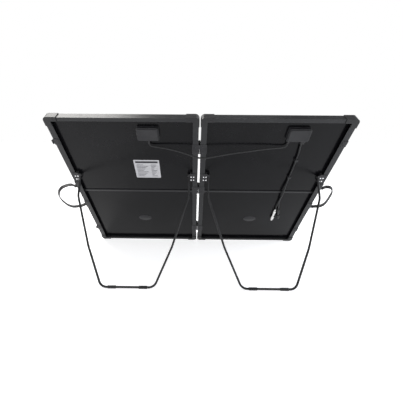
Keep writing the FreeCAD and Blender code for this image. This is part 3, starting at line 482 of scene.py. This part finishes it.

# %% The plastics and rubbers
# these too get a painted highlight: their sharp edges are tinted lighter
corner_plastic = make_finish("corner_plastic", (0.012, 0.012, 0.013), 0.36, grain_scale=1100,
                             grain_depth=0.00003)
box_plastic = make_finish("box_plastic", (0.015, 0.015, 0.017), 0.34, grain_scale=1300,
                          grain_depth=0.00003, edge_highlight=0.25)
gloss_plastic = make_finish("gloss_plastic", (0.014, 0.014, 0.015), 0.22, grain_scale=1800,
                            grain_depth=0.00001, edge_highlight=0.15)
foot_rubber = make_finish("foot_rubber", (0.011, 0.011, 0.012), 0.62, grain_scale=800,
                          grain_depth=0.00006, edge_highlight=0.2, dust=0.5)
strap_rubber = make_finish("strap_rubber", (0.013, 0.013, 0.014), 0.46, grain_scale=650,
                           grain_depth=0.00006, edge_highlight=0.3)
lead_jacket = make_finish("lead_jacket", (0.010, 0.010, 0.011), 0.34, grain_scale=1500,
                          grain_depth=0.00002, edge_highlight=0.0)
board_green = make_finish("board_green", (0.01, 0.10, 0.04), 0.35, grain_scale=1200,
                          grain_depth=0.00001, edge_highlight=0.2)
print(len(bpy.data.materials), "finishes so far")

# %% [markdown]
# ## The back sheet
# A laminated film over the cells: semi-gloss, never quite flat.  Its slow waviness only shows in
# the reflections, so it belongs in the bump.

# %% Back sheet finish
def make_sheet():
    material = bpy.data.materials.new("back_sheet")
    material.use_nodes = True
    n = Nodes(material.node_tree)
    surface = material.node_tree.nodes["Principled BSDF"]
    place = n.add("TexCoord").outputs["Object"]
    slow = n.noise(place, 5.0, 2.0)
    peel = n.noise(place, 320.0, 3.0)
    film = n.add("Group", node_tree=handling)
    n.put(film, "Place", place)
    n.put(film, "Scale", 5.0)
    height = n.maths("ADD", n.maths("MULTIPLY", slow, 0.9), n.maths("MULTIPLY", peel, 0.02))
    bump = n.add("Bump")
    n.put(bump, "Height", height)
    bump.inputs["Distance"].default_value = 0.0012
    n.put(surface, "Normal", bump.outputs[0])
    n.put(surface, "Base Color", n.blend(film.outputs[0], (0.0035, 0.0035, 0.0042, 1),
                                         (0.008, 0.008, 0.0095, 1)))
    n.put(surface, "Roughness", n.remap(film.outputs[0], 0.0, 1.0, 0.20, 0.32))
    surface.inputs["Specular IOR Level"].default_value = 0.15
    return material


back_sheet = make_sheet()
print("back sheet ready")

# %% [markdown]
# ## Glass and cells
# The sunny side: tempered glass over blue-black silicon.  Each cell carries hair-thin silver
# fingers, far too fine to model, so they are lines in its colour.

# %% Glass and cell finishes
def make_glass():
    material = bpy.data.materials.new("cover_glass")
    material.use_nodes = True
    n = Nodes(material.node_tree)
    surface = material.node_tree.nodes["Principled BSDF"]
    surface.inputs["Base Color"].default_value = (0.95, 0.98, 0.98, 1)
    surface.inputs["Metallic"].default_value = 0.0
    surface.inputs["Transmission Weight"].default_value = 1.0
    surface.inputs["IOR"].default_value = 1.45
    place = n.add("TexCoord").outputs["Object"]
    film = n.add("Group", node_tree=handling)
    n.put(film, "Place", place)
    n.put(film, "Scale", 4.0)
    n.put(surface, "Roughness", n.remap(film.outputs[0], 0.0, 1.0, 0.02, 0.06))
    bump = n.add("Bump")
    n.put(bump, "Height", n.noise(place, 6.0, 1.0))
    bump.inputs["Distance"].default_value = 0.0003
    n.put(surface, "Normal", bump.outputs[0])
    return material


def make_cells():
    material = bpy.data.materials.new("cell_silicon")
    material.use_nodes = True
    n = Nodes(material.node_tree)
    surface = material.node_tree.nodes["Principled BSDF"]
    place = n.add("TexCoord").outputs["Object"]
    turned = n.add("Mapping")
    n.put(turned, "Vector", place)
    n.put(turned, "Rotation", (math.radians(180 + tilt), 0, 0))
    lines = n.add("TexWave", wave_type="BANDS", bands_direction="Y")
    n.put(lines, "Vector", turned.outputs[0])
    n.put(lines, "Scale", 160.0)
    finger = n.remap(lines.outputs["Fac"], 0.90, 0.99, 0.0, 0.55)
    shade = n.noise(place, 14.0, 2.0)
    silicon = n.blend(shade, (0.004, 0.006, 0.018, 1), (0.010, 0.014, 0.040, 1))
    n.put(surface, "Base Color", n.blend(finger, silicon, (0.32, 0.34, 0.38, 1)))
    n.put(surface, "Roughness", n.remap(finger, 0.0, 0.5, 0.28, 0.45))
    bump = n.add("Bump")
    n.put(bump, "Height", finger)
    bump.inputs["Distance"].default_value = 0.00002
    n.put(surface, "Normal", bump.outputs[0])
    return material


cover_glass = make_glass()
cell_silicon = make_cells()
print("glass and cells ready")

# %% Give every exact part its finish
ENDINGS = {
    "_top_rail": anodised_across, "_bottom_rail": anodised_across, "_crossbar": anodised_across,
    "_outer_rail": anodised_up, "_inner_rail": anodised_up, "_corner": corner_plastic,
    "_glass": cover_glass, "_cells": cell_silicon, "_backsheet": back_sheet,
    "_junction_base": box_plastic, "_junction_lid": box_plastic, "_diode_board": board_green,
    "_hinge_leaves": hinge_black, "hinge_pins": nickel, "_leg": leg_coat,
    "_leg_brackets": hinge_black, "_leg_pins": black_oxide, "_foot_sleeves": foot_rubber,
    "_handle_strap": strap_rubber, "_handle_mounts": hinge_black, "latch_bases": hinge_black,
    "latch_keepers": hinge_black, "_latch_lever": hinge_black, "_gland": gloss_plastic,
    "_glands": gloss_plastic, "lead_clips": box_plastic, "link_lead": lead_jacket,
    "output_lead_positive": lead_jacket, "output_lead_negative": lead_jacket,
    "output_connectors": gloss_plastic, "_screws": black_oxide, "_rivets": bright_rivet,
}
for name, part in nodes.items():
    finish = next(material for ending, material in ENDINGS.items() if name.endswith(ending))
    part.data.materials.clear()
    part.data.materials.append(finish)
print("finishes on", len(nodes), "parts")

floor_finish = bpy.data.materials.new("pale_floor")
floor_finish.use_nodes = True
n = Nodes(floor_finish.node_tree)
floor_surface = floor_finish.node_tree.nodes["Principled BSDF"]
floor_surface.inputs["Roughness"].default_value = 0.75
floor_surface.inputs["Specular IOR Level"].default_value = 0.2
floor_surface.inputs["Base Color"].default_value = FLOOR_COLOUR
floor_surface.inputs["Emission Color"].default_value = (1, 1, 1, 1)
floor_surface.inputs["Emission Strength"].default_value = FLOOR_GLOW
floor.data.materials.append(floor_finish)

# %% [markdown]
# ## The leads
# A lead is a length of something springy, so its line is one smooth curve: a spline through a
# few listed control points, given thickness.  The link lead hangs between the two junction
# boxes and crosses the fold, so it is made a mesh.  The two
# output leads lie along the back sheet under their clips, and hop over the stiffening bar.

# %% Routes of the leads: across, up the slope, out of the back
LINK_DIAMETER = 0.006
OUTPUT_DIAMETER = 0.0055
LINK_ROUTE = (
    (-0.1775, 0.614, -0.0059), (-0.1775, 0.6082, -0.0059), (-0.1748, 0.6032, -0.0054),
    (-0.1695, 0.6, -0.0048), (-0.1605, 0.5985, -0.0038), (-0.145, 0.5976, -0.0016),
    (-0.118, 0.5954, 0.003), (-0.082, 0.5909, 0.01), (-0.046, 0.5844, 0.0185),
    (-0.015, 0.5762, 0.0264), (0.012, 0.5728, 0.03), (0.042, 0.5764, 0.0269),
    (0.082, 0.5824, 0.0216), (0.128, 0.5878, 0.0159), (0.174, 0.5916, 0.0108),
    (0.214, 0.5949, 0.0056), (0.25, 0.597, 0.001), (0.2755, 0.5976, -0.0023),
    (0.291, 0.5984, -0.0038), (0.3, 0.6, -0.0048), (0.3053, 0.6032, -0.0055),
    (0.308, 0.6082, -0.0059), (0.308, 0.614, -0.0059))
OUTPUT_ROUTES = {
    "positive": (
        (0.3561, 0.614, -0.0049), (0.3561, 0.6045, -0.0049), (0.3575, 0.5935, -0.005),
        (0.3594, 0.5805, -0.005), (0.3607, 0.563, -0.005), (0.3614, 0.541, -0.005),
        (0.3617, 0.514, -0.005), (0.3617, 0.482, -0.005), (0.3615, 0.448, -0.005),
        (0.3607, 0.42, -0.0033), (0.36, 0.399, 0.0007), (0.3597, 0.381, 0.0038),
        (0.3596, 0.357, 0.0039), (0.3599, 0.339, 0.0009), (0.3603, 0.318, -0.0035),
        (0.3604, 0.301, -0.0049), (0.3599, 0.285, -0.0049), (0.3597, 0.268, -0.0048),
        (0.3598, 0.2548, -0.0048)),
    "negative": (
        (0.359, 0.614, -0.01), (0.359, 0.6045, -0.01), (0.3604, 0.5935, -0.0101),
        (0.3623, 0.5805, -0.0101), (0.3636, 0.563, -0.0101), (0.3643, 0.541, -0.0101),
        (0.3646, 0.514, -0.0101), (0.3646, 0.482, -0.0101), (0.3644, 0.448, -0.0101),
        (0.3636, 0.42, -0.0084), (0.3629, 0.399, -0.0044), (0.3626, 0.381, -0.0013),
        (0.3625, 0.357, -0.0012), (0.3628, 0.339, -0.0042), (0.3639, 0.318, -0.0082),
        (0.3652, 0.304, -0.0082), (0.3668, 0.2905, -0.0062), (0.3682, 0.278, -0.0049),
        (0.3709, 0.2665, -0.0048)),
}


# %% A lead from its route
def on_panel(point):
    return STAND_UP @ Vector(point)


def make_lead(name, route, diameter):
    """A round lead along one smooth spline, and the points that its line passes."""
    curve = bpy.data.curves.new(name, "CURVE")
    curve.dimensions = "3D"
    spline = curve.splines.new("NURBS")
    spline.points.add(len(route) - 1)
    for control, point in zip(spline.points, route):
        control.co = (*on_panel(point), 1)
    spline.order_u = 3
    spline.use_endpoint_u = True
    curve.resolution_u = 10
    piece = bpy.data.objects.new(name, curve)
    bpy.context.scene.collection.objects.link(piece)
    bpy.context.view_layer.update()
    line = bpy.data.meshes.new_from_object(piece)
    path = [v.co.copy() for v in line.vertices]
    curve.bevel_depth = diameter / 2
    curve.bevel_resolution = 5
    curve.use_fill_caps = True
    curve.materials.append(lead_jacket)
    length = sum((b - a).length for a, b in zip(path, path[1:]))
    print(name, "is", round(length, 4), "m long")
    return piece, path, length


# %% The link lead, which bends across the fold
link_lead, link_path, link_length = make_lead("link_lead_tube", LINK_ROUTE, LINK_DIAMETER)
pick(link_lead)
bpy.ops.object.convert(target="MESH")
link_lead = bpy.context.object
smooth(link_lead, 60)
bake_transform(link_lead)
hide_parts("link_lead")

# %% The two output leads
for sign, route in OUTPUT_ROUTES.items():
    lead, path, length = make_lead("output_lead_" + sign + "_tube", route, OUTPUT_DIAMETER)
    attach(lead, "right_panel")
    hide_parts("output_lead_" + sign)

# %% [markdown]
# ## The junction boxes
# Each box is a low tray with a clipped lid.  The tray flares into a thin foot where it is glued
# to the sheet; the lid steps in twice towards a flat face with a shallow panel.  Latching tabs,
# ribs and moulded bosses are what make it read as an injection-moulded part.

# %% Raise and lower a face by hand
def step_face(inset, rise):
    """Insets the selected face, then moves the inner one along the bench's third axis."""
    bpy.ops.mesh.inset(thickness=inset)
    bpy.ops.mesh.extrude_region_move(TRANSFORM_OT_translate={"value": (0, 0, rise)})


def is_upright(middle, direction):
    return abs(direction.z) > 0.9


# %% The junction boxes' trays and lids
BOX_OFFSET = 0.079
BOX_HALF = (0.038, 0.0245)
BOX_MIDDLE_Y = 0.6495
TRAY_TOP = SHEET_BACK + 0.012
BOX_CORNER = 0.005
LID_CORNER = 0.0078
FOOT_HEIGHT = 0.0014             # the tray's foot, where it is glued down
LID_PLATE = 0.0016
TAB_SPACING = 0.011              # from the lid's middle to each latching tab
TAB_HALF = 0.0035
TAB_X = (0.0332, 0.0376)
RIB_PLACES = (-0.006, 0.0, 0.006)
RIB_HALF = 0.0006
RIB_Y = (0.0210, 0.0240)
DETAIL_BASE = TRAY_TOP + 0.0012  # tabs and ribs start inside the lid's plate
BOSS_X = 0.026
BOSS_Y = 0.0152
BOSS_RADIUS = 0.0021

for side_name, side in SIDES.items():
    middle = side * PANEL_MIDDLE + BOX_OFFSET
    x = (middle - BOX_HALF[0], middle + BOX_HALF[0])
    y = (BOX_MIDDLE_Y - BOX_HALF[1], BOX_MIDDLE_Y + BOX_HALF[1])
    tray = add_box(side_name + "_box_tray", x, y, (SHEET_BACK, SHEET_BACK + FOOT_HEIGHT))
    round_edges(tray, BOX_CORNER, 5, is_upright)
    select_faces(tray, lambda middle, normal: normal.z > 0.9)
    step_face(0.0011, TRAY_TOP - SHEET_BACK - FOOT_HEIGHT)
    step_face(0.0012, -0.0004)
    bpy.ops.object.mode_set(mode="OBJECT")
    soften(tray, 0.0003)
    finish_piece(tray, side_name + "_panel", box_plastic)
    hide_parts(side_name + "_junction_base")

    lid = add_box(side_name + "_box_lid_plate", x, y, (TRAY_TOP, TRAY_TOP + LID_PLATE))
    round_edges(lid, LID_CORNER, 6, is_upright)
    select_faces(lid, lambda middle, normal: normal.z > 0.9)
    step_face(0.0029, 0.0033)
    step_face(0.0012, 0.0007)
    step_face(0.0018, -0.0006)
    bpy.ops.object.mode_set(mode="OBJECT")
    soften(lid, 0.0002, 2)
    details = [lid]
    for end in (-1, 1):
        for step in (-TAB_SPACING, TAB_SPACING):
            tab_x = sorted(middle + end * reach for reach in TAB_X)
            tab_y = (BOX_MIDDLE_Y + step - TAB_HALF, BOX_MIDDLE_Y + step + TAB_HALF)
            tab = add_box("tab", tab_x, tab_y, (DETAIL_BASE, TRAY_TOP + 0.0040))
            soften(tab, 0.0005)
            select_faces(tab, lambda middle, normal: normal.z > 0.9)
            step_face(0.0009, -0.0012)
            bpy.ops.object.mode_set(mode="OBJECT")
            details.append(tab)
        for rib in RIB_PLACES:
            rib_y = sorted(BOX_MIDDLE_Y + end * reach for reach in RIB_Y)
            bar = add_box("rib", (middle + rib - RIB_HALF, middle + rib + RIB_HALF), rib_y,
                          (DETAIL_BASE, TRAY_TOP + 0.0034))
            soften(bar, 0.0003)
            details.append(bar)
        for boss_x in (-BOSS_X, BOSS_X):
            boss_place = (middle + boss_x, BOX_MIDDLE_Y + end * BOSS_Y, TRAY_TOP + 0.0040)
            boss = add_round("boss", BOSS_RADIUS, boss_place, 0.0013)
            select_faces(boss, lambda middle, normal: normal.z > 0.9)
            step_face(0.0006, -0.0006)
            bpy.ops.object.mode_set(mode="OBJECT")
            soften(boss, 0.0002)
            details.append(boss)
    lid = merge(side_name + "_box_lid", details)
    finish_piece(lid, side_name + "_panel", box_plastic)
    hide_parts(side_name + "_junction_lid")
print("junction boxes modelled")

# %% [markdown]
# ## The plugs
# A plug is round all the way along, so it grows from one disc: its end face is drawn out and
# resized step by step.  The first steps are the flexible sleeve that protects the lead.

# %% Plugs
PLUG_START_RADIUS = 0.0030
PLUG_STEPS = (
    # distance from the lead's end, radius
    (0.0012, 0.0038), (0.0030, 0.0032), (0.0040, 0.0040), (0.0060, 0.0034), (0.0070, 0.0042),
    (0.0100, 0.0042), (0.0101, 0.0066), (0.0112, 0.0070), (0.0160, 0.0070), (0.0164, 0.0064),
    (0.0172, 0.0064), (0.0176, 0.0070), (0.0228, 0.0070), (0.0240, 0.0064), (0.0241, 0.0052),
    (0.0270, 0.0055), (0.0480, 0.0056), (0.0500, 0.0052), (0.0501, 0.0074), (0.0512, 0.0080),
    (0.0545, 0.0080), (0.0549, 0.0075), (0.0565, 0.0075), (0.0569, 0.0080), (0.0606, 0.0080),
    (0.0618, 0.0074), (0.0620, 0.0060), (0.0632, 0.0064), (0.0740, 0.0064), (0.0775, 0.0056),
    (0.0794, 0.0040), (0.0800, 0.0022))


def make_plug(name, route, material):
    deselect()
    bpy.ops.mesh.primitive_circle_add(vertices=40, radius=PLUG_START_RADIUS,
                                      fill_type="NGON")
    plug = bpy.context.object
    plug.name = plug.data.name = name
    bpy.ops.object.mode_set(mode="EDIT")
    bpy.ops.mesh.select_all(action="SELECT")
    reached, radius = 0.0, PLUG_START_RADIUS
    for distance, next_radius in PLUG_STEPS:
        bpy.ops.mesh.extrude_region_move(
            TRANSFORM_OT_translate={"value": (0, 0, distance - reached)})
        bpy.ops.transform.resize(value=(next_radius / radius, next_radius / radius, 1),
                                 center_override=(0, 0, distance))
        reached, radius = distance, next_radius
    bpy.ops.mesh.select_all(action="SELECT")
    bpy.ops.mesh.normals_make_consistent(inside=False)
    bpy.ops.object.mode_set(mode="OBJECT")
    soften(plug, 0.0002, 2, 25)
    direction = Vector(route[-1]) - Vector(route[-2])
    plug.matrix_world = (Matrix.Translation(route[-1])
                         @ direction.to_track_quat("Z", "Y").to_matrix().to_4x4())
    apply_place(plug)
    return finish_piece(plug, "right_panel", material, 30)


plugs = {"positive": make_plug("positive_plug", OUTPUT_ROUTES["positive"], nickel),
         "negative": make_plug("negative_plug", OUTPUT_ROUTES["negative"], gloss_plastic)}
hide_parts("output_connectors")
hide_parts("output_connectors")
print("plugs modelled")

# %% [markdown]
# ## Label and badges
# The rating label is foil with a raised border.  Its print is left generic: ruled lines and
# blocks that stand for rows of values.  Two blank oval badges sit low on the panels.

# %% The foil label and its ruled rows
label_foil = make_finish("label_foil", (0.42, 0.42, 0.44), 0.34, grain_scale=900,
                         grain_depth=0.000006, metallic=0.3, edge_highlight=0.2,
                         edge_highlight_colour=(0.5, 0.5, 0.52))
label_ink = make_finish("label_ink", (0.02, 0.02, 0.025), 0.42, grain_scale=1200,
                        grain_depth=0.000004, edge_highlight=0.1)
LABEL_X = (-0.2512, -0.1527)
LABEL_Y = (0.440, 0.530)
LABEL_THICK = 0.0004
label = add_box("rating_label", LABEL_X, LABEL_Y, (SHEET_BACK, SHEET_BACK + LABEL_THICK))
round_edges(label, 0.003, 4, is_upright)
select_faces(label, lambda middle, normal: normal.z > 0.9)
step_face(0.002, -0.0001)
bpy.ops.object.mode_set(mode="OBJECT")
soften(label, 0.00008)
finish_piece(label, "left_panel", label_foil)

LABEL_ROWS = 9
LABEL_MARGIN = 0.006
row_pitch = (LABEL_Y[1] - LABEL_Y[0] - 2 * LABEL_MARGIN - 0.014) / LABEL_ROWS
ink_z = (SHEET_BACK + 0.00025, SHEET_BACK + 0.00042)
marks = [add_box("heading", (LABEL_X[0] + LABEL_MARGIN, LABEL_X[1] - LABEL_MARGIN),
                 (LABEL_Y[1] - LABEL_MARGIN - 0.009, LABEL_Y[1] - LABEL_MARGIN), ink_z)]
for row in range(LABEL_ROWS):
    low = LABEL_Y[0] + LABEL_MARGIN + row * row_pitch
    marks.append(add_box("rule", (LABEL_X[0] + LABEL_MARGIN, LABEL_X[1] - LABEL_MARGIN),
                         (low, low + 0.0004), ink_z))
    name_end = LABEL_X[0] + 0.034 + 0.006 * ((row * 5) % 4)
    marks.append(add_box("name_block", (LABEL_X[0] + 0.009, name_end),
                         (low + 0.0026, low + 0.0046), ink_z))
    value_end = LABEL_X[1] - 0.012 - 0.004 * ((row * 3) % 4)
    marks.append(add_box("value_block", (LABEL_X[1] - 0.034, value_end),
                         (low + 0.0026, low + 0.0046), ink_z))
marks = merge("rating_label_rows", marks)
soften(marks, 0.00004, 1)
finish_piece(marks, "left_panel", label_ink)

# %% The oval badges
BADGE_X = 0.2565
BADGE_Y = 0.1715
BADGE_HALF = (0.031, 0.020)
BADGE_THICK = 0.0006
badge_finish = make_finish("badge_film", (0.012, 0.012, 0.014), 0.30, grain_scale=1400,
                           grain_depth=0.000006, edge_highlight=0.2)
for side_name, side in SIDES.items():
    deselect()
    bpy.ops.mesh.primitive_cylinder_add(
        vertices=72, radius=1, depth=BADGE_THICK,
        location=(side * BADGE_X, BADGE_Y, SHEET_BACK + BADGE_THICK / 2))
    badge = bpy.context.object
    badge.name = badge.data.name = side_name + "_oval_badge"
    badge.scale = (*BADGE_HALF, 1)
    apply_place(badge)
    select_faces(badge, lambda middle, normal: normal.z > 0.9)
    step_face(0.0016, -0.00035)
    step_face(0.0014, 0.0002)
    bpy.ops.object.mode_set(mode="OBJECT")
    soften(badge, 0.00008)
    finish_piece(badge, side_name + "_panel", badge_finish)
print("label and badges modelled")
